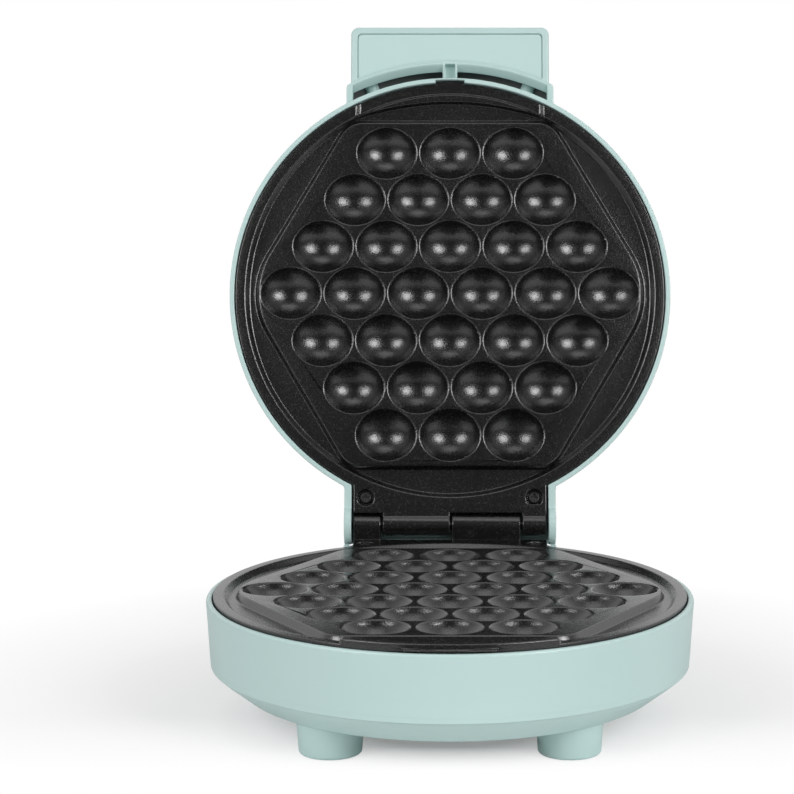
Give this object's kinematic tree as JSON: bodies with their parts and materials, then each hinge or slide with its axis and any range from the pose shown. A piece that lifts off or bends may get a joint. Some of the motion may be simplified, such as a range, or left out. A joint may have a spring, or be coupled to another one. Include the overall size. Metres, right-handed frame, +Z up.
{
  "type": "bubble waffle maker",
  "caption": "Round electric bubble waffle maker, standing open: a hinged lid and a base on short legs, both with a black plate of oval cups, and a flat handle at the lid's front.",
  "frame": {"origin": "on the worktop, under the centre of the lower plate", "axes": "+Z up, +Y from the handle side towards the hinge, +X to the right when seen from the handle side"},
  "size_m": [0.2224, 0.3146, 0.3091],
  "materials": {
    "mint_shell": "pale mint moulded plastic, satin gloss",
    "mint_panel": "pale mint moulded plastic, fine matte texture",
    "foot_rubber": "dark grey moulded rubber",
    "cooking_plate": "cast aluminium under a speckled black non-stick coating",
    "element_tube": "heat-darkened steel tube",
    "reflector_sheet": "mill-finish sheet",
    "sensor_body": "pressed metal",
    "terminal_plastic": "off-white heat-resistant plastic",
    "gland_plastic": "black plastic",
    "screw_steel": "plated steel",
    "red_lens": "clear red lens",
    "green_lens": "clear green lens",
    "lamp_glass": "small glass bulb"
  },
  "bodies": {
    "base": {"base_housing": "mint_shell", "foot_pads": "foot_rubber", "lower_plate": "cooking_plate", "lower_plate_screws": "screw_steel", "lower_heating_element": "element_tube", "lower_reflector": "reflector_sheet", "lower_reflector_screws": "screw_steel", "thermostat": "sensor_body", "thermostat_screws": "screw_steel", "terminal_block": "terminal_plastic", "terminal_screws": "screw_steel", "cord_gland": "gland_plastic", "cord_gland_nut": "gland_plastic", "hinge_pin": "screw_steel"},
    "lid": {"lid_housing": "mint_shell", "handle": "mint_shell", "handle_cover": "mint_panel", "pocket_liners": "gland_plastic", "handle_screws": "screw_steel", "upper_plate": "cooking_plate", "upper_plate_screws": "screw_steel", "upper_heating_element": "element_tube", "upper_reflector": "reflector_sheet", "upper_reflector_screws": "screw_steel", "thermal_cutout": "sensor_body", "thermal_cutout_screws": "screw_steel", "power_lamp_lens": "red_lens", "ready_lamp_lens": "green_lens", "lamp_holder": "terminal_plastic", "indicator_lamps": "lamp_glass", "lamp_holder_screws": "screw_steel"}
  },
  "joints": [
    {"name": "lid_hinge", "type": "hinge", "parent": "base", "child": "lid", "pos_m": [0, 0.11675, 0.065], "axis": [1, 0, 0], "range_deg": [0, 106.5]}
  ]
}
